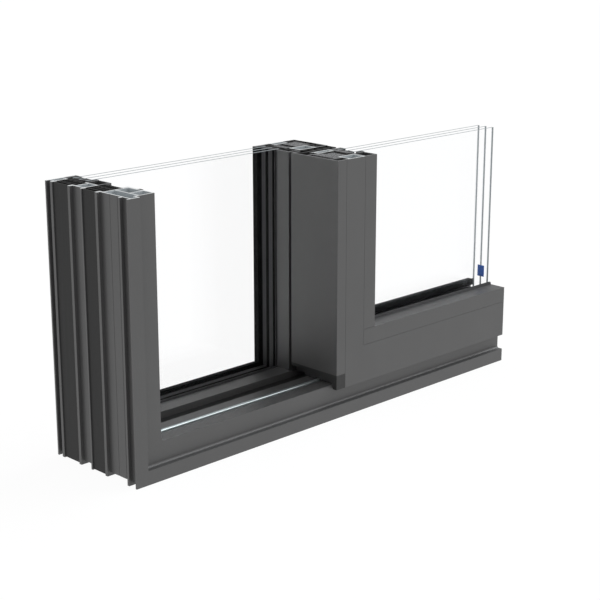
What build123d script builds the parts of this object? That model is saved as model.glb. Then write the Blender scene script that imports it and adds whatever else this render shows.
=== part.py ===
from build123d import *
import os

os.makedirs("parts", exist_ok=True)

# Corner sample of an aluminium lift-and-slide patio door, in millimetres.
# +X runs along the sill away from the jamb, +Y from the room side outwards, +Z up.
# The origin is the middle of the sill's footprint. Sections are drawn as (depth, inset):
# depth from the room face, inset from the outer face of the frame or leaf member.

# Sample as it is cut
width = 691.0
height = 345.5

# Walls, joint lines and the clearance of the moving leaf
wall = 2.0
plastic_wall = 1.6
joint = 0.3
running_gap = 5.0

# Frame section shared by jamb and sill, from the room side outwards
frame_face = 45.4
flange_face = 18.0
flange_step = 8.5
flange_edge = 2.3
flange_groove = 11.9
flange_lip = 3.4
cove = 3.0
recess = 4.6
score_lines = (24.3, 38.3)
score = 0.6
claw = 7.5
lip = 4.4
front_depth = 60.0
front_claw = 6.0
front_brow = 3.8
front_divider = 26.0
chamber_line = 22.5
front_break = 25.0
break_level = 36.4
break_inset = 1.2
middle_depth = 26.8
middle_lip = 2.6
middle_claw = 5.8
bead_overhang = 0.9
rear_depth = 14.0
rear_claw = 2.0
rear_flange = 2.4
rear_upstand = 5.0
rebate_floor = 25.0
upstand_drop = 2.0

# Groove in the front profile that seats the sill's running rail and the jamb's stop seal
seat_front = 30.6
seat_width = 7.5
seat_depth = 1.5
rail_width = 5.0
rail_height = 1.8
rail_round = 1.4
seal_height = 2.5

# Triple glass units and what holds them
pane = 3.0
pane_gap = 9.8
glass_bite = 13.6
fixed_setback = 3.9
sash_setback = 7.5
spacer_end = 10.0
fixed_inner_gasket_depth = 4.8
sash_inner_gasket_depth = 6.0
fixed_outer_gasket_depth = 4.9
sash_outer_gasket_depth = 3.4
fixed_gasket_rise = 1.8
sash_gasket_rise = 3.4
gasket_foot = 7.5
gasket_groove = 1.2
gasket_cap = 1.2

# Sliding sash
sash_left = 336.0
sash_foot = 39.7
sash_face = 72.8
sash_inner = 22.0
sash_channel = 34.0
sash_box = 22.0
sash_upstand = 5.5
sash_rise = 0.5
sash_bar = 12.0
sash_block_depth = 9.0
sash_block = 13.0
sash_skirt = 3.5
bead_face = 21.5
bead_depth = 24.5
cover_face = 16.4
cover_clip = 14.0
cover_reach = 84.8
cover_hook = 14.0
cover_edge = 3.0
foam_start = 10.5

# End cap under the stile
cap_height = 19.8
cap_gap = 1.0
cap_leg = 7.5
cap_round = 2.0
cap_panel = 1.0
cap_pocket = 8.0
cap_rim = 4.0

# Roller carriage in the bottom rail
carriage_start = 60.0
carriage_length = 150.0
carriage_width = 18.0
carriage_foot = 52.0
roller_radius = 11.0
roller_width = 8.0
roller_pin = 3.0
roller_pitch = 90.0
pin_play = 0.1

# Fixed stile behind the sash stile
stile_offset = 2.0
stile_shift = 5.0
stile_gap = 6.7
stile_lip = 2.2
fixed_face = 73.0
fixed_outer = 13.0
inner_box_start = 21.0
inner_box_end = 52.0
outer_box_start = 26.0
outer_box_end = 49.0
foam_strip_start = 18.0
foam_strip_end = 27.0
foam_core_start = 37.0
foam_core_end = 62.0
interlock_gap = 5.5
interlock_start = 22.0
interlock_end = 60.0
bulb_width = 5.7
bulb_margin = 2.3

# Tag on the middle pane's cut edge
tag_width = 12.0
tag_height = 17.0
tag_thickness = 0.4
tag_foot = 121.0

# Depths and insets that follow
glass = 3 * pane + 2 * pane_gap
front_wall = front_depth - front_claw
front_top = front_wall + front_brow
lip_start = flange_edge + flange_groove
lip_end = lip_start + flange_lip
middle_front = front_depth + front_break
middle_wall = middle_front + middle_lip
middle_back = middle_front + middle_depth
middle_rear = middle_back - middle_claw
fixed_bead = middle_back + bead_overhang
fixed_glass = fixed_bead + fixed_inner_gasket_depth
fixed_glass_back = fixed_glass + glass
upstand_front = fixed_glass_back + fixed_outer_gasket_depth
upstand_top = frame_face - upstand_drop
depth = upstand_front + rear_upstand
rear_front = depth - rear_depth
rear_wall = rear_front + rear_claw
fixed_edge = frame_face - glass_bite
seat_back = seat_front + seat_width
seat_floor = frame_face - seat_depth
rail_front = seat_back - rail_width
rail_middle = seat_back - rail_width / 2
rail_top = frame_face + rail_height
seal_top = frame_face + seal_height
sash_glass = bead_depth + sash_inner_gasket_depth
sash_glass_back = sash_glass + glass
sash_upstand_front = sash_glass_back + sash_outer_gasket_depth
sash_depth = sash_upstand_front + sash_upstand
sash_outer = sash_inner + sash_channel
sash_rebate = sash_face - bead_face
sash_seat = sash_rebate - joint
sash_edge = sash_face - glass_bite
bar_foot = sash_seat - sash_bar
block_foot = bar_foot - sash_block
block_front = sash_outer - sash_block_depth
interlock_front = sash_depth + interlock_gap
interlock_neck = cover_reach - cover_edge - running_gap
fixed_left = sash_left + stile_offset
fixed_front = cover_reach + stile_gap
fixed_rear = depth - fixed_outer
stile_seat = frame_face - stile_shift - rebate_floor
stile_upstand = frame_face - stile_shift - upstand_top

# Corners of the sample and of the leaves in plan
left = -width / 2
right = width / 2
front = -depth / 2
sash_x = left + sash_left
fixed_x = left + fixed_left
fixed_corner = fixed_x + frame_face - stile_shift
cap_top = sash_foot + cap_height


def along_sill(x, z):
    """Section plane of a member that runs along the sill from x, its foot at z."""
    return Plane(origin=(x, front, z), x_dir=(0, 1, 0), z_dir=(1, 0, 0))


def down_from_top(x):
    """Section plane of an upright that runs down from the cut top, its outer face at x."""
    return Plane(origin=(x, front, height), x_dir=(0, 1, 0), z_dir=(0, 0, -1))


def mitre(x, z):
    """Plane that halves the corner between an upright and the member at its foot."""
    return Plane(origin=(x, front, z), z_dir=(1, 0, -1))


def box(y0, p0, y1, p1):
    """Corners of a rectangle between two depths and two insets."""
    return [(y0, p0), (y1, p0), (y1, p1), (y0, p1)]


def cells(y0, p0, y1, p1, across, up):
    """Equal chambers inside a rectangle, with plastic walls around and between them."""
    step_y = (y1 - y0 - plastic_wall) / across
    step_p = (p1 - p0 - plastic_wall) / up
    return [
        box(
            y0 + plastic_wall + i * step_y, p0 + plastic_wall + j * step_p,
            y0 + (i + 1) * step_y, p0 + (j + 1) * step_p,
        )
        for i in range(across) for j in range(up)
    ]


def lip_gasket(y0, y1, edge, rise):
    """Inner glazing gasket between bead and glass, with two lips above the bead's edge."""
    top = edge + rise
    middle = (y0 + y1) / 2
    bevel = (y1 - y0) / 5
    return [
        (y0, edge - gasket_foot), (y0, edge), (y0 + bevel, top), (middle - bevel / 2, top),
        (middle, top - gasket_groove), (middle + bevel / 2, top), (y1, top - bevel),
        (y1, edge - gasket_foot),
    ]


def cap_gasket(y0, y1, back, upstand):
    """Outer glazing gasket between glass and upstand, drawn over the upstand's edge."""
    top = upstand + gasket_cap
    return [
        (y0, upstand - gasket_foot), (y0, top + gasket_cap), (y0 + gasket_cap, top),
        (back, top), (back, upstand), (y1, upstand), (y1, upstand - gasket_foot),
    ]


def spacer_pair(y0, edge, top):
    """The two spacer bars between the panes of a unit."""
    pitch = pane + pane_gap
    return [box(y0 + pane + i * pitch, edge, y0 + (i + 1) * pitch, top) for i in range(2)]


def rim(*corners):
    """Path of a strip through corners given as (x, z), in the plane of the room face."""
    with BuildLine() as path:
        Polyline(*[(x, front, z) for x, z in corners])
    return path.line


def section(plane, outline, chambers=(), rounds=()):
    """Cross-section: an outline less its chambers, with the listed corners rounded."""
    with BuildSketch(plane) as drawn:
        with BuildLine():
            Polyline(*outline, close=True)
        make_face()
        for corner, radius in rounds:
            fillet(drawn.vertices().sort_by_distance(corner)[0], radius)
        for chamber in chambers:
            with BuildLine():
                Polyline(*chamber, close=True)
            make_face(mode=Mode.SUBTRACT)
    return drawn.sketch


def save(piece, label):
    """Label a finished piece and write its file."""
    piece.part.label = label
    export_step(piece.part, f"parts/{label}.step")


# Frame members: each section is extruded as jamb and as sill, and mitred at the corner

score_marks = [
    point for line in reversed(score_lines)
    for point in ((line + score, recess), (line, recess + score), (line - score, recess))
]
frame_sections = {
    "front_profile": (
        [
            (0, 0), (0, flange_face), (flange_step, flange_face),
            (flange_step, frame_face), (seat_front, frame_face), (seat_front, seat_floor),
            (seat_back, seat_floor), (seat_back, frame_face), (front_top, frame_face),
            (front_top, break_level), (front_wall, break_level), (front_wall, claw),
            (front_depth, claw), (front_depth, 0), (front_depth - lip, 0),
            (front_depth - lip, recess), *score_marks, (lip_end, recess), (lip_end, 0),
            (lip_start, 0), (lip_start, recess), (flange_edge, recess), (flange_edge, 0),
        ],
        [
            [
                (flange_edge, recess + wall), (flange_edge, flange_face - wall),
                (flange_step + wall, flange_face - wall), (flange_step + wall, chamber_line),
                (front_wall - wall, chamber_line), (front_wall - wall, recess + wall),
            ],
            box(flange_step + wall, chamber_line + wall, front_divider, frame_face - wall),
            box(front_divider + wall, chamber_line + wall, front_wall - wall,
                seat_floor - wall),
        ],
        [((flange_step, flange_face), cove)],
    ),
    "front_insulator": (
        [
            (front_wall, claw), (front_wall, break_level), (middle_wall, break_level),
            (middle_wall, claw), (middle_front, claw), (middle_front, break_inset),
            (front_depth, break_inset), (front_depth, claw),
        ],
        cells(front_wall, claw, middle_wall, break_level, 4, 2)
        + [box(front_depth + plastic_wall, break_inset + plastic_wall,
               middle_front - plastic_wall, claw)],
        [],
    ),
    "middle_profile": (
        [
            (middle_front, 0), (middle_front, claw), (middle_wall, claw),
            (middle_wall, frame_face), (fixed_bead, frame_face),
            (fixed_bead, rebate_floor), (middle_rear, rebate_floor),
            (middle_rear, claw), (middle_back, claw), (middle_back, 0),
            (middle_back - lip, 0), (middle_back - lip, recess), (middle_wall, recess),
            (middle_wall, 0),
        ],
        [
            box(middle_wall + wall, recess + wall, middle_rear - wall, rebate_floor),
            box(middle_wall + wall, rebate_floor + wall, fixed_bead - wall,
                frame_face - wall),
        ],
        [],
    ),
    "rear_insulator": (
        [
            (middle_rear, claw), (middle_rear, rebate_floor), (rear_wall, rebate_floor),
            (rear_wall, claw), (rear_front, claw), (rear_front, break_inset),
            (middle_back, break_inset), (middle_back, claw),
        ],
        cells(middle_rear, claw, rear_wall, rebate_floor, 4, 1)
        + [box(middle_back + plastic_wall, break_inset + plastic_wall,
               rear_front - plastic_wall, claw)],
        [],
    ),
    "rear_profile": (
        [
            (rear_front, 0), (rear_front, claw), (rear_wall, claw),
            (rear_wall, rebate_floor), (upstand_front, rebate_floor),
            (upstand_front, upstand_top), (depth, upstand_top), (depth, 0),
            (depth - rear_flange, 0), (depth - rear_flange, recess),
            (rear_front + lip, recess), (rear_front + lip, 0),
        ],
        [box(rear_wall + wall, recess + wall, depth - wall, rebate_floor - wall)],
        [],
    ),
}
frame_members = {
    "jamb": (down_from_top(left), height, Keep.BOTTOM),
    "sill": (along_sill(left, 0), width, Keep.TOP),
}
for member, (plane, length, side) in frame_members.items():
    for name, (outline, chambers, rounds) in frame_sections.items():
        with BuildPart() as profile:
            extrude(section(plane, outline, chambers, rounds), amount=length)
            split(bisect_by=mitre(left, 0), keep=side)
        save(profile, f"{member}_{name}")

# Running rail of stainless steel with a rounded head, seated in the sill's groove

with BuildPart() as running_rail:
    extrude(
        section(
            along_sill(left + frame_face, 0),
            box(rail_front, seat_floor, seat_back, rail_top),
            rounds=[((rail_front, rail_top), rail_round), ((seat_back, rail_top), rail_round)],
        ),
        amount=width - frame_face,
    )
save(running_rail, "running_rail")

# Stop seal in the jamb's groove, above the rail

seal_front = seat_front + joint
seal_back = seat_back - joint
with BuildPart() as jamb_stop_seal:
    extrude(
        section(
            down_from_top(left),
            box(seal_front, seat_floor, seal_back, seal_top),
            rounds=[((seal_front, seal_top), rail_round), ((seal_back, seal_top), rail_round)],
        ),
        amount=height - rail_top - joint,
    )
save(jamb_stop_seal, "jamb_stop_seal")

# Cover that closes the sill's glass rebate beside the fixed light

with BuildPart() as sill_cover:
    extrude(
        section(
            along_sill(fixed_x + fixed_face + joint, 0),
            [
                (fixed_bead, rebate_floor), (fixed_bead, frame_face),
                (upstand_front, upstand_top), (upstand_front, rebate_floor),
                (upstand_front - wall, rebate_floor),
                (upstand_front - wall, upstand_top - wall),
                (fixed_bead + wall, frame_face - wall), (fixed_bead + wall, rebate_floor),
            ],
        ),
        amount=width - fixed_left - fixed_face - joint,
    )
save(sill_cover, "sill_cover")

# Panes of both glass units

units = {
    "fixed": (left + fixed_edge, fixed_corner - fixed_edge, fixed_edge, fixed_glass),
    "sash": (sash_x + sash_edge, right, sash_foot + sash_edge, sash_glass),
}
for unit, (x0, x1, z0, y0) in units.items():
    for index, place in enumerate(("inner", "middle", "outer")):
        face = front + y0 + index * (pane + pane_gap)
        with BuildPart() as glass_pane:
            with BuildSketch(Plane.XZ.offset(-face)):
                with Locations(((x0 + x1) / 2, (z0 + height) / 2)):
                    Rectangle(x1 - x0, height - z0)
            extrude(amount=-pane)
        save(glass_pane, f"{unit}_pane_{place}")

# Seals, spacer bars and packers follow the rim of each unit with square corners

fixed_rim = rim((left, height), (left, 0), (fixed_corner, 0), (fixed_corner, height))
sash_rim = rim((sash_x, height), (sash_x, sash_foot), (right, sash_foot))
sash_spacer_rim = rim(
    (sash_x, height), (sash_x, sash_foot), (right - spacer_end, sash_foot),
)
fixed_strips = {
    "outer_gasket": (
        fixed_rim, [cap_gasket(fixed_glass_back, upstand_front, depth, upstand_top)],
    ),
    "spacer_bars": (
        fixed_rim, spacer_pair(fixed_glass, fixed_edge, frame_face - fixed_setback),
    ),
    "rebate_foam": (
        fixed_rim, [box(fixed_glass, rebate_floor, fixed_glass_back, fixed_edge)],
    ),
}
sash_strips = {
    "inner_gasket": (
        sash_rim, [lip_gasket(bead_depth, sash_glass, sash_face, sash_gasket_rise)],
    ),
    "outer_gasket": (
        sash_rim,
        [cap_gasket(sash_glass_back, sash_upstand_front, sash_depth,
                    sash_face + sash_rise)],
    ),
    "spacer_bars": (
        sash_spacer_rim, spacer_pair(sash_glass, sash_edge, sash_face - sash_setback),
    ),
    "rebate_foam": (
        sash_rim, [box(sash_glass, sash_seat, sash_glass_back, sash_edge)],
    ),
}
for unit, start, strips in (("fixed", left, fixed_strips), ("sash", sash_x, sash_strips)):
    for name, (path, outlines) in strips.items():
        with BuildPart() as strip:
            for outline in outlines:
                sweep(
                    section(down_from_top(start), outline),
                    path=path, transition=Transition.RIGHT,
                )
        save(strip, f"{unit}_{name}")

# The fixed light's inner gasket is clipped to the beads of jamb and sill and to the stile

bead_rim = rim((left, height), (left, 0), (fixed_x, 0))
lip_back = fixed_bead + stile_lip
with BuildPart() as fixed_inner_gasket:
    sweep(
        section(
            down_from_top(left),
            lip_gasket(fixed_bead, fixed_glass, frame_face, fixed_gasket_rise),
        ),
        path=bead_rim, transition=Transition.RIGHT,
    )
    extrude(
        section(
            down_from_top(fixed_x),
            [
                (fixed_bead, gasket_foot), (fixed_bead, wall), (lip_back, wall),
                (lip_back, 0), (lip_back + joint, -fixed_gasket_rise),
                (fixed_glass - joint, -fixed_gasket_rise), (fixed_glass, -gasket_cap),
                (fixed_glass, gasket_foot),
            ],
        ),
        amount=height - frame_face - fixed_gasket_rise,
    )
save(fixed_inner_gasket, "fixed_inner_gasket")

# Fixed stile: two hollow profiles, the insulating frame that joins them and its foam

strip_chamber = box(fixed_bead + plastic_wall, foam_strip_start, fixed_rear - plastic_wall,
                    foam_strip_end)
core_chamber = box(fixed_bead + plastic_wall, foam_core_start, fixed_rear - plastic_wall,
                   foam_core_end)
fixed_stile_sections = {
    "inner_profile": (
        [
            (fixed_front, 0), (fixed_front, fixed_face), (fixed_bead, fixed_face),
            (fixed_bead, fixed_face - wall), (fixed_front + wall, fixed_face - wall),
            (fixed_front + wall, inner_box_end), (fixed_bead, inner_box_end),
            (fixed_bead, inner_box_start), (fixed_front + wall, inner_box_start),
            (fixed_front + wall, wall), (lip_back, wall), (lip_back, 0),
        ],
        [box(fixed_front + wall, inner_box_start + wall, fixed_bead - wall,
             inner_box_end - wall)],
        frame_face,
    ),
    "outer_profile": (
        [
            (upstand_front, stile_upstand), (depth, stile_upstand), (depth, fixed_face),
            (depth - wall, fixed_face), (depth - wall, outer_box_end),
            (fixed_rear, outer_box_end), (fixed_rear, outer_box_start),
            (depth - wall, outer_box_start), (depth - wall, stile_seat),
            (upstand_front, stile_seat),
        ],
        [box(fixed_rear + wall, outer_box_start + wall, depth - wall,
             outer_box_end - wall)],
        upstand_top,
    ),
    "insulator": (
        [
            (fixed_front + wall, wall), (fixed_front + wall, inner_box_start),
            (fixed_bead, inner_box_start), (fixed_bead, inner_box_end),
            (fixed_front + wall, inner_box_end), (fixed_front + wall, fixed_face - wall),
            (fixed_bead, fixed_face - wall), (fixed_bead, fixed_face),
            (depth - wall, fixed_face), (depth - wall, outer_box_end),
            (fixed_rear, outer_box_end), (fixed_rear, outer_box_start),
            (depth - wall, outer_box_start), (depth - wall, stile_seat),
            (fixed_bead, stile_seat), (fixed_bead, wall),
        ],
        [strip_chamber, core_chamber]
        + cells(fixed_front + wall, wall, fixed_bead, inner_box_start, 2, 2)
        + cells(fixed_front + wall, inner_box_end, fixed_bead, fixed_face - wall, 2, 2)
        + cells(fixed_bead, foam_strip_end, fixed_rear, foam_core_start, 3, 1)
        + cells(fixed_bead, foam_core_end, fixed_rear, fixed_face, 3, 1)
        + cells(fixed_rear, stile_seat, depth - wall, outer_box_start, 1, 1)
        + cells(fixed_rear, outer_box_end, depth - wall, fixed_face, 1, 3),
        frame_face,
    ),
}
for name, (outline, chambers, foot) in fixed_stile_sections.items():
    with BuildPart() as profile:
        extrude(section(down_from_top(fixed_x), outline, chambers), amount=height - foot)
    save(profile, f"fixed_stile_{name}")

with BuildPart() as fixed_stile_foam:
    for (y0, p0), _, (y1, p1), _ in (strip_chamber, core_chamber):
        extrude(
            section(
                down_from_top(fixed_x), box(y0 + joint, p0 + joint, y1 - joint, p1 - joint),
            ),
            amount=height - frame_face,
        )
save(fixed_stile_foam, "fixed_stile_foam")

# Interlock on the fixed stile's room side, its hook turned towards the jamb

hook_tip = wall + running_gap - stile_offset
bulb_end = fixed_face - bulb_margin
with BuildPart() as fixed_interlock:
    extrude(
        section(
            down_from_top(fixed_x),
            [
                (fixed_front, interlock_start), (interlock_neck, interlock_start),
                (interlock_neck, hook_tip), (interlock_front, hook_tip),
                (interlock_front, interlock_end), (interlock_neck, interlock_end),
                (interlock_neck, bulb_end - bulb_width),
                (interlock_front, bulb_end - bulb_width), (interlock_front, bulb_end),
                (fixed_front, bulb_end),
            ],
            cells(interlock_neck, interlock_start, fixed_front, bulb_end, 1, 4),
        ),
        amount=height - cap_top - running_gap,
    )
save(fixed_interlock, "fixed_interlock")

# Sash members: hollow inner and outer profiles joined by an insulating bar

sash_sections = {
    "inner_profile": (
        [
            (0, 0), (0, sash_seat), (sash_inner, sash_seat), (sash_inner, sash_box),
            (sash_skirt, sash_box), (sash_skirt, 0),
        ],
        [box(wall, sash_box + wall, sash_inner - wall, sash_seat - wall)],
    ),
    "outer_profile": (
        [
            (sash_outer, sash_box), (sash_outer, sash_seat),
            (sash_upstand_front, sash_seat), (sash_upstand_front, sash_face + sash_rise),
            (sash_depth, sash_face + sash_rise), (sash_depth, cover_face),
            (sash_depth - wall, cover_face), (sash_depth - wall, sash_box),
        ],
        [box(sash_outer + wall, sash_box + wall, sash_depth - wall, sash_seat - wall)],
    ),
    "insulator": (
        [
            (sash_inner, bar_foot), (sash_inner, sash_seat), (sash_outer, sash_seat),
            (sash_outer, block_foot), (block_front, block_foot), (block_front, bar_foot),
        ],
        cells(sash_inner, bar_foot, sash_outer, sash_seat, 4, 1)
        + [box(block_front + plastic_wall, block_foot + plastic_wall,
               sash_outer - plastic_wall, bar_foot)],
    ),
}
sash_members = {
    "stile": (down_from_top(sash_x), height - sash_foot, Keep.BOTTOM),
    "rail": (along_sill(sash_x, sash_foot), width - sash_left, Keep.TOP),
}
cover_line = Plane(origin=(sash_x + cover_face, 0, 0), z_dir=(1, 0, 0))
for member, (plane, length, side) in sash_members.items():
    for name, (outline, chambers) in sash_sections.items():
        with BuildPart() as profile:
            extrude(section(plane, outline, chambers), amount=length)
            split(bisect_by=mitre(sash_x, sash_foot), keep=side)
            split(bisect_by=cover_line, keep=Keep.TOP)
        save(profile, f"sash_{member}_{name}")

# Glazing beads: the rail's bead runs through and the stile's bead stands on it

bead_outline = box(0, sash_rebate, bead_depth, sash_face)
bead_chamber = box(wall, sash_rebate + wall, bead_depth - wall, sash_face - wall)
beads = {
    "rail": (
        along_sill(sash_x + sash_rebate, sash_foot), width - sash_left - sash_rebate,
    ),
    "stile": (down_from_top(sash_x), height - sash_foot - sash_face - joint),
}
for member, (plane, length) in beads.items():
    with BuildPart() as bead:
        extrude(section(plane, bead_outline, [bead_chamber]), amount=length)
    save(bead, f"sash_{member}_bead")

# Cover along the sash stile's edge, clipped to both profiles and hooked at its far end

with BuildPart() as sash_stile_cover:
    extrude(
        section(
            down_from_top(sash_x),
            [
                (0, 0), (0, cover_face - joint), (wall, cover_face - joint),
                (wall, wall), (cover_clip, wall), (cover_clip, sash_box),
                (cover_clip + wall, sash_box), (cover_clip + wall, wall),
                (sash_outer, wall), (sash_outer, sash_box), (sash_outer + wall, sash_box),
                (sash_outer + wall, wall), (cover_reach - cover_edge, wall),
                (cover_reach - cover_edge, cover_hook), (cover_reach, cover_hook),
                (cover_reach, 0),
            ],
        ),
        amount=height - cap_top,
    )
save(sash_stile_cover, "sash_stile_cover")

# Foam core of the sash stile, in the channel between the two profiles

with BuildPart() as sash_stile_foam:
    extrude(
        section(
            down_from_top(sash_x),
            [
                (cover_clip + wall + joint, foam_start),
                (cover_clip + wall + joint, sash_box - joint),
                (sash_inner + joint, sash_box - joint),
                (sash_inner + joint, bar_foot - joint),
                (block_front - joint, bar_foot - joint),
                (block_front - joint, block_foot - joint),
                (sash_outer - joint, block_foot - joint), (sash_outer - joint, foam_start),
            ],
        ),
        amount=height - cap_top - joint,
    )
save(sash_stile_foam, "sash_stile_foam")

# End cap under the stile: it spans the sill, straddles the rail and laps the sill's front

cap_foot = frame_face + cap_gap
notch_front = rail_front - cap_gap
notch_back = seat_back + cap_gap
with BuildPart() as stile_end_cap:
    extrude(
        section(
            along_sill(sash_x, 0),
            [
                (0, sash_foot), (0, cap_top), (cover_reach, cap_top),
                (cover_reach, cap_foot), (notch_back, cap_foot),
                (notch_back, rail_top + cap_gap), (notch_front, rail_top + cap_gap),
                (notch_front, cap_foot), (cap_leg, cap_foot), (cap_leg, sash_foot),
            ],
            rounds=[((cap_leg, sash_foot), cap_round)],
        ),
        amount=cover_face - joint,
    )
    for y0, y1, cut_depth in (
        (cap_leg + 2 * cap_panel, front_depth, cap_panel),
        (front_depth, cover_reach - cap_panel, cap_pocket),
    ):
        extrude(
            section(along_sill(sash_x, 0), box(y0, cap_foot, y1, cap_top - cap_rim)),
            amount=cut_depth, mode=Mode.SUBTRACT,
        )
save(stile_end_cap, "stile_end_cap")

# Roller carriage: a forked housing with two rollers that stand on the rail

axle_height = rail_top + joint + roller_radius
carriage_top = sash_foot + bar_foot - joint
carriage_x = sash_x + carriage_start
fork = roller_width / 2 + 2 * joint
axle_places = [
    carriage_x + carriage_length / 2 - roller_pitch / 2,
    carriage_x + carriage_length / 2 + roller_pitch / 2,
]
with BuildPart() as roller_carriage:
    extrude(
        section(
            along_sill(carriage_x, 0),
            [
                (rail_middle - carriage_width / 2, carriage_foot),
                (rail_middle - carriage_width / 2, carriage_top),
                (rail_middle + carriage_width / 2, carriage_top),
                (rail_middle + carriage_width / 2, carriage_foot),
                (rail_middle + fork, carriage_foot),
                (rail_middle + fork, axle_height + roller_radius + wall),
                (rail_middle - fork, axle_height + roller_radius + wall),
                (rail_middle - fork, carriage_foot),
            ],
        ),
        amount=carriage_length,
    )
    with BuildSketch(Plane.XZ.offset(-(front + rail_middle))):
        with Locations(*[(x, axle_height) for x in axle_places]):
            Circle(roller_pin)
    extrude(amount=carriage_width / 2, both=True)
    with BuildSketch(Plane.XZ.offset(-(front + rail_middle))):
        with Locations(*[(x, axle_height) for x in axle_places]):
            Circle(roller_radius)
            Circle(roller_pin + pin_play, mode=Mode.SUBTRACT)
    extrude(amount=roller_width / 2, both=True)
save(roller_carriage, "roller_carriage")

# Plain tag on the middle pane's cut edge

tag_middle = front + sash_glass + pane + pane_gap + pane / 2
with BuildPart() as glass_tag:
    with BuildSketch(Plane.YZ.offset(right)):
        with Locations((tag_middle, tag_foot + tag_height / 2)):
            Rectangle(tag_width, tag_height)
    extrude(amount=tag_thickness)
save(glass_tag, "glass_tag")
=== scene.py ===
import math

import bpy
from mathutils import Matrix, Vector


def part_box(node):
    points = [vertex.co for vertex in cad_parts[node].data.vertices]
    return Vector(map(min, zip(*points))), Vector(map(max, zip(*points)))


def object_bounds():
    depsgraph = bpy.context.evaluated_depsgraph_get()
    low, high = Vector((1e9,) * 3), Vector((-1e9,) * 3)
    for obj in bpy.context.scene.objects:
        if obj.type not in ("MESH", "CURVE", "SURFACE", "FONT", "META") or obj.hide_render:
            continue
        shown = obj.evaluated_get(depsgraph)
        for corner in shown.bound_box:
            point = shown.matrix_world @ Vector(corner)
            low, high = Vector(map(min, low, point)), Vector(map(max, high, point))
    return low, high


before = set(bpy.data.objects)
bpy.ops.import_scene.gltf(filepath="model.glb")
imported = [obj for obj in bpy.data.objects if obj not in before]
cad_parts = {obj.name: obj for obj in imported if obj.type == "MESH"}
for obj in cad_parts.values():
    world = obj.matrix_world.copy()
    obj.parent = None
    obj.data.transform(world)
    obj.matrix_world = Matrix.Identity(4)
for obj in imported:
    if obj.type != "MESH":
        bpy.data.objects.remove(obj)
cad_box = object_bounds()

# The sample stands with the middle of its sill on the origin: x runs along the sill away
# from the jamb, y from the room side outwards, z up. Sections are measured as in the
# workshop, in millimetres: depth from the room face, inset from a member's outer face.

MM = 0.001
LEFT, ROOM_SIDE = cad_box[0].x, cad_box[0].y
CUT_TOP, CUT_RIGHT = cad_box[1].z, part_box("sill_front_profile")[1].x
SASH_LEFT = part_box("sash_stile_cover")[0].x
SASH_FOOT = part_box("sash_rail_inner_profile")[0].z
STILE_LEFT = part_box("fixed_stile_inner_profile")[0].x

GLASS_PITCH, CAVITY, BUTYL = 12.8, 9.8, 1.4
FIXED_CAVITY, SASH_CAVITY = 120.5, 33.5

# How far a mark on a surface reaches past its own line: metres, and millimetres last
SAW_MARGIN, TAG_MARGIN = 0.02 * MM, 0.05 * MM
SECTION_MARGIN = 0.05


# Tools for the finishes


def socket_of(sockets, name):
    """A socket by its number, its identifier or its name."""
    if isinstance(name, int):
        return sockets[name]
    return next(s for s in sockets if name in (s.identifier, s.name))


class Flow:
    """A node's output. Arithmetic on it adds Math nodes; a comparison gives 0 or 1."""

    def __init__(self, finish, socket):
        self.finish = finish
        self.socket = socket

    def math(self, operation, *values):
        inputs = dict(enumerate(values))
        return self.finish.node("ShaderNodeMath", {"operation": operation}, inputs)

    def __add__(self, other):
        return self.math("ADD", self, other)

    __radd__ = __add__

    def __mul__(self, other):
        return self.math("MULTIPLY", self, other)

    __rmul__ = __mul__

    def __sub__(self, other):
        return self.math("SUBTRACT", self, other)

    def __rsub__(self, other):
        return self.math("SUBTRACT", other, self)

    def __gt__(self, other):
        return self.math("GREATER_THAN", self, other)

    def __lt__(self, other):
        return self.math("LESS_THAN", self, other)

    def __pow__(self, other):
        return self.math("POWER", self, other)

    def __or__(self, other):
        return self.math("MAXIMUM", self, other)

    def __abs__(self):
        return self.math("ABSOLUTE", self)

    def fraction(self):
        return self.math("FRACT", self)

    def between(self, start, end):
        return (self > start) * (self < end)


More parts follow.
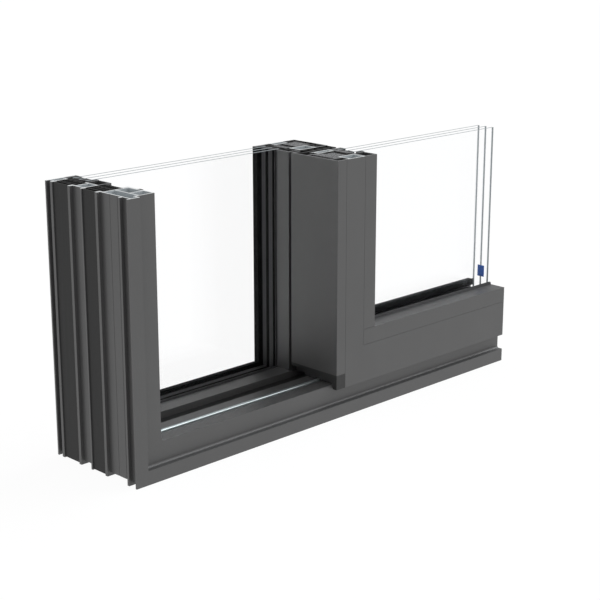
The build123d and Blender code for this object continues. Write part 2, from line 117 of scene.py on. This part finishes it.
class Finish:
    """A material with its nodes, and the patterns that several finishes share."""

    def __init__(self, name):
        self.material = bpy.data.materials.new(name)
        self.material.use_nodes = True
        self.tree = self.material.node_tree
        self.tree.nodes.clear()
        self.place = self.node("ShaderNodeTexCoord", output="Object")
        self.x, self.y, self.z = (
            self.node("ShaderNodeSeparateXYZ", inputs={0: self.place}, output=axis)
            for axis in "XYZ"
        )

    def node(self, kind, settings=None, inputs=None, output=0):
        """Add a node: its settings first, then the values or links of its sockets."""
        made = self.tree.nodes.new(kind)
        for name, value in (settings or {}).items():
            setattr(made, name, value)
        for name, value in (inputs or {}).items():
            socket = socket_of(made.inputs, name)
            if isinstance(value, Flow):
                self.tree.links.new(value.socket, socket)
            else:
                socket.default_value = value
        return Flow(self, socket_of(made.outputs, output)) if made.outputs else None

    def tint(self, share, first, second):
        """A colour between two others, each an (r, g, b) or a flow."""
        first, second = (c if isinstance(c, Flow) else (*c, 1) for c in (first, second))
        return self.node(
            "ShaderNodeMix", {"data_type": "RGBA"},
            {"Factor_Float": share, "A_Color": first, "B_Color": second}, "Result_Color",
        )

    def stretched(self, x, y, z):
        """The place on the piece with each axis counted in its own measure."""
        return self.node(
            "ShaderNodeVectorMath", {"operation": "MULTIPLY"}, {0: self.place, 1: (x, y, z)}
        )

    def grain(self, size, detail=2, rough=0.5, place=None):
        """Cloudy noise from 0 to 1; size is that of one cloud in metres."""
        return self.node(
            "ShaderNodeTexNoise", {"noise_dimensions": "3D"},
            {"Vector": place or self.place, "Scale": 1 / size, "Detail": detail,
             "Roughness": rough},
        )

    def streaks(self, x, y, z, detail=3):
        """Noise drawn out into streaks: each axis has its own size in metres."""
        return self.grain(1, detail, 0.6, self.stretched(1 / x, 1 / y, 1 / z))

    def pores(self, size):
        """Distance to the nearest pore's middle; size is the pores' spacing in metres."""
        return self.node(
            "ShaderNodeTexVoronoi", {"feature": "F1"},
            {"Vector": self.place, "Scale": 1 / size}, "Distance",
        )

    def ramp(self, value, start, end, to_start=0, to_end=1):
        """A number carried from one range to another and held at both ends."""
        return self.node(
            "ShaderNodeMapRange", {"clamp": True},
            {"Value": value, "From Min": start, "From Max": end, "To Min": to_start,
             "To Max": to_end},
        )

    def bump(self, height, depth, strength, under=None):
        """A Bump node: height from 0 to 1 stands depth metres proud of what is under it."""
        inputs = {"Height": height, "Distance": depth, "Strength": strength}
        if under:
            inputs["Normal"] = under
        return self.node("ShaderNodeBump", inputs=inputs)

    def cut(self):
        """1 on the two sawn faces of the sample, at its top and at its right end."""
        return (self.z > CUT_TOP - SAW_MARGIN) | (self.x > CUT_RIGHT - SAW_MARGIN)

    def surface(self, **inputs):
        """The Principled shader and the output."""
        named = {name.replace("_", " "): value for name, value in inputs.items()}
        shader = self.node("ShaderNodeBsdfPrincipled", inputs=named)
        self.node("ShaderNodeOutputMaterial", inputs={"Surface": shader})
        return self.material


# Finishes


# Greys of the coat, of sawn metal, of the chambers' mill finish and of the thin rims
COAT = 0.061
BARE = (0.93, 0.95, 0.95)
MILL = (0.56, 0.60, 0.62)
FLANGE_DARK, FLANGE_LIGHT = (0.17, 0.175, 0.18), (0.24, 0.245, 0.25)
METAL_SHARE, MILL_METAL_SHARE = 0.45, 0.35


def shade(colour, share):
    return tuple(c * share for c in colour)


def painted_aluminium(name, axis, start, sawn_box=None, chambers=()):
    """Fine-textured dark powder coat. The sawn rims are bare metal around the box that
    carries the section and duller on its thin flanges, and the chambers are mill finish.
    Each box gives depth and inset of two corners, the inset along one axis from start."""
    f = Finish(name)
    depth = (f.y - ROOM_SIDE) * (1 / MM)
    inset = ((f.x if axis == "x" else f.z) - start) * (1 / MM)

    def within(depth_0, inset_0, depth_1, inset_1):
        over_depth = depth.between(depth_0 - SECTION_MARGIN, depth_1 + SECTION_MARGIN)
        return over_depth * inset.between(inset_0 - SECTION_MARGIN, inset_1 + SECTION_MARGIN)

    inside = None
    for chamber in chambers:
        box = within(*chamber)
        inside = box if inside is None else inside | box
    cut = f.cut()
    orange_peel = f.grain(0.55 * MM, 3, 0.62)
    flecks = f.pores(0.35 * MM)
    clouds = f.grain(45 * MM)
    if axis == "x":
        draw_lines = f.streaks(1.6 * MM, 1.6 * MM, 300 * MM)
        saw = f.streaks(0.35 * MM, 20 * MM, 4 * MM)
    else:
        draw_lines = f.streaks(300 * MM, 1.6 * MM, 1.6 * MM)
        saw = f.streaks(20 * MM, 0.35 * MM, 20 * MM)
    coat = f.tint(
        f.ramp(orange_peel + 0.5 * clouds, 0.45, 1.05),
        (COAT * 0.9, COAT * 0.9, COAT * 0.905), (COAT * 1.1,) * 3,
    )
    bare = f.tint(f.ramp(saw, 0.3, 0.7), shade(BARE, 0.84), BARE)
    mill = f.tint(f.ramp(draw_lines, 0.3, 0.7), shade(MILL, 0.88), MILL)
    colour, metal, shine = coat, cut, f.ramp(orange_peel, 0.3, 0.7, 0.36, 0.48)
    if inside:
        colour = f.tint(inside, coat, mill)
        shine = shine - 0.04 * inside
        metal = cut | MILL_METAL_SHARE * inside
    rim = f.tint(saw, FLANGE_DARK, FLANGE_LIGHT)
    if sawn_box:
        rim = f.tint(within(*sawn_box), rim, bare)
    colour = f.tint(cut, colour, rim)
    coated = f.bump(orange_peel * 0.7 + flecks * 0.3, 0.012 * MM, 0.55)
    return f.surface(
        Base_Color=colour, Roughness=shine - 0.06 * cut, Metallic=metal * METAL_SHARE,
        Specular_IOR_Level=0.6, Normal=f.bump(saw * cut, 0.03 * MM, 0.4, coated),
    )


def moulded(name, dark, light, draw_axis, shine=0.5, grain_size=0.3 * MM, specular=0.2,
            rim=None):
    """Extruded or moulded plastic: fine grain, faint draw lines, its own grey where sawn."""
    f = Finish(name)
    speck = f.grain(grain_size, 3, 0.65)
    sizes = {"x": (250 * MM, 0.7 * MM, 0.7 * MM), "z": (0.7 * MM, 0.7 * MM, 250 * MM),
             "none": (4 * MM, 4 * MM, 4 * MM)}
    lines = f.streaks(*sizes[draw_axis])
    mix = f.ramp(speck * 0.6 + lines * 0.4, 0.35, 0.65)
    colour = f.tint(mix, (dark,) * 3, (light,) * 3)
    if rim:
        colour = f.tint(f.cut() * f.ramp(speck, 0.25, 0.6, 0.55), colour, (rim,) * 3)
    return f.surface(
        Base_Color=colour, Roughness=f.ramp(speck, 0.3, 0.7, shine - 0.06, shine + 0.08),
        Specular_IOR_Level=specular,
        Normal=f.bump(speck * 0.5 + lines * 0.5, 0.03 * MM, 0.5),
    )


def rubber(name, dark, light, specular):
    """Extruded glazing rubber: matt, finely ribbed along its draw, a trace of bloom."""
    f = Finish(name)
    fine = f.grain(0.25 * MM, 3, 0.6)
    bloom = f.grain(18 * MM, 3)
    ribs = f.streaks(1.2 * MM, 0.5 * MM, 1.2 * MM)
    tone = f.ramp(bloom * 0.5 + ribs * 0.5, 0.35, 0.7)
    colour = f.tint(tone, (dark,) * 3, (light, light, light * 1.05))
    colour = f.tint(f.cut() * 0.7, colour, (0.02,) * 3)
    return f.surface(
        Base_Color=colour, Roughness=f.ramp(fine, 0.3, 0.7, 0.6, 0.8),
        Specular_IOR_Level=specular, Normal=f.bump(fine * 0.4 + ribs * 0.6, 0.03 * MM, 0.6),
    )


def foam():
    """Grey insulating foam with open cells."""
    f = Finish("insulating_foam")
    cells = f.pores(1.5 * MM)
    patches = f.grain(2.4 * MM, 4, 0.7)
    colour = f.tint(
        f.ramp(cells * 0.5 + patches * 0.8, 0.5, 0.85), (0.27, 0.27, 0.275), (0.06,) * 3
    )
    return f.surface(
        Base_Color=colour, Roughness=f.ramp(cells, 0.1, 0.7, 0.8, 0.95),
        Specular_IOR_Level=0.15, Normal=f.bump(1 - cells, 0.25 * MM, 0.8),
    )


def spacer(name, first_cavity, grey):
    """Warm-edge spacer with a row of breathing holes, black butyl along both its sides.
    The two bars of a unit follow each other in depth from the first cavity's start, one
    cavity and one pane apart."""
    f = Finish(name)
    speck = f.grain(0.3 * MM)
    depth = ((f.y - ROOM_SIDE) * (1 / MM) - first_cavity) * (1 / GLASS_PITCH)
    across = depth.fraction() * GLASS_PITCH
    bar = across.between(BUTYL, CAVITY - BUTYL)
    along = ((f.x + f.z) * (1 / (3 * MM))).fraction()
    hole = along.between(0.36, 0.64) * across.between(CAVITY / 2 - 0.5, CAVITY / 2 + 0.5)
    colour = f.tint(
        f.ramp(speck, 0.3, 0.7), (grey * 0.9,) * 3, (grey * 1.1, grey * 1.1, grey * 1.15)
    )
    colour = f.tint(hole * 0.7, colour, (0.012,) * 3)
    colour = f.tint(bar, (0.006,) * 3, colour)
    return f.surface(
        Base_Color=colour, Roughness=f.ramp(speck, 0.3, 0.7, 0.42, 0.55),
        Specular_IOR_Level=0.1, Normal=f.bump(speck - hole, 0.05 * MM, 0.5),
    )


def glass():
    """Clear float glass: reflections by angle on its faces, ground edges teal where sawn and
    painted near black inside the rebates as painted shade, and clear under the tag."""
    f = Finish("glass")
    facing = f.node("ShaderNodeTexCoord", output="Normal")
    edge = abs(f.node("ShaderNodeSeparateXYZ", inputs={0: facing}, output="Y")) < 0.5
    low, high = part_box("glass_tag")
    under_tag = f.z.between(low.z, high.z) * f.y.between(low.y, high.y)
    under_tag = (f.x > CUT_RIGHT - TAG_MARGIN) * under_tag
    ground = f.grain(0.35 * MM, 3, 0.6)
    flow_marks = f.grain(90 * MM, 1)
    rim = f.tint(f.ramp(ground, 0.3, 0.7), (0.22, 0.255, 0.27), (0.32, 0.355, 0.37))
    # Inside the rebates the edges get a near-black colour: painted shade of the rebate, not the
    # glass's own tone
    rim = f.tint(f.cut(), (0.01, 0.011, 0.011), rim)
    slant = f.node("ShaderNodeLayerWeight", inputs={"Blend": 0.5}, output="Facing")
    mirror = 0.01 + 0.9 * slant ** 5
    return f.surface(
        Base_Color=f.tint(edge, (0.86, 0.9, 0.95), rim),
        Metallic=1 - edge, Roughness=edge * f.ramp(ground, 0.3, 0.7, 0.25, 0.4) + 0.015,
        Alpha=(mirror * (1 - edge) + edge * 0.97) * (1 - under_tag),
        Normal=f.bump(ground * edge + flow_marks * 0.02, 0.02 * MM, 0.4),
    )


def steel(name, pale, streak_sizes, shine):
    """Brushed or plated steel with streaks of the given size along x, y and z."""
    f = Finish(name)
    brushed = f.streaks(*streak_sizes, detail=4)
    stain = f.grain(25 * MM)
    colour = f.tint(f.ramp(brushed * 0.7 + stain * 0.3, 0.3, 0.7), shade(pale, 0.8), pale)
    return f.surface(
        Base_Color=colour, Metallic=f.ramp(stain, 0.3, 0.7, 0.92),
        Roughness=f.ramp(brushed, 0.3, 0.7, shine - 0.07, shine + 0.1),
        Normal=f.bump(brushed, 0.01 * MM, 0.6),
    )


def tag_blue():
    """Blue film of the tag: slightly glossy, a little uneven."""
    f = Finish("tag_blue")
    weave = f.grain(0.4 * MM)
    colour = f.tint(f.ramp(weave, 0.3, 0.7), (0.0, 0.075, 0.38), (0.0, 0.088, 0.43))
    return f.surface(
        Base_Color=colour, Roughness=f.ramp(weave, 0.3, 0.7, 0.36, 0.46),
        Specular_IOR_Level=0.1, Normal=f.bump(weave, 0.01 * MM, 0.5),
    )


def studio_floor():
    """Pale paper floor, lit so evenly that it gives off a little light of its own."""
    f = Finish("studio_paper")
    tooth = f.grain(4 * MM)
    return f.surface(
        Base_Color=f.tint(tooth, (0.055,) * 3, (0.06,) * 3), Roughness=0.9,
        Specular_IOR_Level=0, Emission_Color=(1, 1, 1, 1), Emission_Strength=0.95,
    )


# Finishes on the pieces


def dress(node, finish):
    """Give a piece its only finish."""
    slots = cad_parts[node].data.materials
    slots.clear()
    slots.append(finish)


# Each hollow aluminium section: the box whose sawn rims are bright, then its chambers. A
# box is given by the depth and inset of two corners.
SECTIONS = {
    "front_profile": (
        (0, 0, 60, 45.4),
        [(2.3, 6.6, 52, 16), (10.5, 16, 52, 22.5), (10.5, 24.5, 26, 43.4), (28, 24.5, 52, 41.9)],
    ),
    "middle_profile": ((85, 0, 112, 27.2), [(89.6, 6.6, 104, 25)]),
    "rear_profile": ((142, 0, 156, 25.2), [(146, 6.6, 154, 23)]),
    "sash_inner": ((0, 20, 22, 52), [(2, 24, 20, 49)]),
    "sash_outer": ((56, 20, 68, 52), [(58, 24, 66, 49)]),
    "stile_inner": ((91, 20.5, 113, 52.5), [(93.5, 23, 110.7, 50)]),
    "stile_outer": ((142, 25.5, 157, 49.5), [(145, 28, 154, 47)]),
}

# Each painted piece: the axis of its insets, where they start, and its hollow section
PAINTED = {
    "jamb_front_profile": ("x", LEFT, "front_profile"),
    "sill_front_profile": ("z", 0, "front_profile"),
    "jamb_middle_profile": ("x", LEFT, "middle_profile"),
    "sill_middle_profile": ("z", 0, "middle_profile"),
    "jamb_rear_profile": ("x", LEFT, "rear_profile"),
    "sill_rear_profile": ("z", 0, "rear_profile"),
    "sill_cover": ("z", 0, None),
    "sash_stile_inner_profile": ("x", SASH_LEFT, "sash_inner"),
    "sash_rail_inner_profile": ("z", SASH_FOOT, "sash_inner"),
    "sash_stile_outer_profile": ("x", SASH_LEFT, "sash_outer"),
    "sash_rail_outer_profile": ("z", SASH_FOOT, "sash_outer"),
    "sash_stile_bead": ("x", SASH_LEFT, None),
    "sash_rail_bead": ("z", SASH_FOOT, None),
    "sash_stile_cover": ("x", SASH_LEFT, None),
    "fixed_stile_inner_profile": ("x", STILE_LEFT, "stile_inner"),
    "fixed_stile_outer_profile": ("x", STILE_LEFT, "stile_outer"),
}
for node, (axis, start, section) in PAINTED.items():
    dress(node, painted_aluminium(f"coat_{node}", axis, start, *SECTIONS.get(section, ())))

bar_upright = moulded("insulating_plastic_upright", 0.013, 0.026, "z", rim=0.014)
bar_along = moulded("insulating_plastic_along", 0.013, 0.026, "x", rim=0.014)
cap_black = moulded("cap_plastic", 0.022, 0.032, "none", 0.45, 0.5 * MM, 0.3)
rubber_black = rubber("gasket_rubber", 0.003, 0.007, 0.06)
foam_grey = foam()
clear = glass()
rail_steel = steel(
    "stainless_steel", (0.62, 0.69, 0.70), (60 * MM, 0.22 * MM, 0.22 * MM), 0.36
)
zinc = steel("carriage_steel", (0.55, 0.56, 0.57), (2 * MM, 2 * MM, 2 * MM), 0.38)
DRESSED = {
    "jamb_front_insulator": bar_upright, "sill_front_insulator": bar_along,
    "jamb_rear_insulator": bar_upright, "sill_rear_insulator": bar_along,
    "fixed_stile_insulator": bar_upright, "fixed_interlock": bar_upright,
    "sash_stile_insulator": bar_upright, "sash_rail_insulator": bar_along,
    "running_rail": rail_steel, "roller_carriage": zinc, "stile_end_cap": cap_black,
    "jamb_stop_seal": rubber_black, "glass_tag": tag_blue(),
    "fixed_stile_foam": foam_grey, "sash_stile_foam": foam_grey,
    "fixed_rebate_foam": rubber_black, "sash_rebate_foam": foam_grey,
}
# The inner gaskets are one rubber, but their greys differ to paint light: lighter as painted
# light on the sash's lit top, darker as painted shade on the fixed unit's in the pocket
for unit, cavity, spacer_grey, seal_grey_and_painted_light in (
    ("fixed", FIXED_CAVITY, 0.055, 0.028), ("sash", SASH_CAVITY, 0.007, 0.055),
):
    DRESSED[f"{unit}_spacer_bars"] = spacer(f"spacer_{unit}", cavity, spacer_grey)
    DRESSED[f"{unit}_inner_gasket"] = rubber(
        f"{unit}_seal_rubber_painted_light", seal_grey_and_painted_light * 0.75, seal_grey_and_painted_light * 1.25, 0.2
    )
    DRESSED[f"{unit}_outer_gasket"] = rubber_black
    for pane in ("inner", "middle", "outer"):
        DRESSED[f"{unit}_pane_{pane}"] = clear
for node, finish in DRESSED.items():
    dress(node, finish)


# Floor, light and camera


FLOOR_SIZE = 60
DAYLIGHT = 0.6
# Name, strength, tone, spread in degrees and the way that the light travels
LIGHTS = (
    ("front_light", 0.5, (1, 1, 1), 60, (-0.3, 1, -0.3)),
    ("side_light", 1.8, (0.94, 0.97, 1), 50, (-1, 0.2, -1)),
)
CAMERA_PLACE = (-1.317139, -1.328580, 0.674129)
AZIMUTH, ELEVATION = math.radians(-44.753), math.radians(15.763)
LENS, SENSOR = 87.106, 36
PANE_FACES_IN_LINE = 40

bpy.ops.object.select_all(action="DESELECT")
bpy.ops.mesh.primitive_plane_add(size=FLOOR_SIZE, location=(0, 0, 0))
floor = bpy.context.active_object
floor.name = "studio_floor"
floor.data.materials.append(studio_floor())

world = bpy.data.worlds.new("studio_daylight")
world.use_nodes = True
background = world.node_tree.nodes["Background"]
background.inputs["Color"].default_value = (1, 1, 1, 1)
background.inputs["Strength"].default_value = DAYLIGHT
bpy.context.scene.world = world

for name, energy, tone, spread, travel in LIGHTS:
    light = bpy.data.objects.new(name, bpy.data.lights.new(name, "SUN"))
    light.data.energy = energy
    light.data.color = tone
    light.data.angle = math.radians(spread)
    light.rotation_euler = Vector(travel).to_track_quat("-Z", "Y").to_euler()
    bpy.context.scene.collection.objects.link(light)

camera = bpy.data.objects.new("camera", bpy.data.cameras.new("camera"))
camera.data.lens = LENS
camera.data.sensor_width = SENSOR
camera.location = CAMERA_PLACE
back = Vector((
    math.sin(AZIMUTH) * math.cos(ELEVATION), -math.cos(AZIMUTH) * math.cos(ELEVATION),
    math.sin(ELEVATION),
))
camera.rotation_euler = (-back).to_track_quat("-Z", "Y").to_euler()
bpy.context.scene.collection.objects.link(camera)
bpy.context.scene.camera = camera
bpy.context.scene.view_settings.view_transform = "Standard"
bpy.context.scene.cycles.transparent_max_bounces = PANE_FACES_IN_LINE
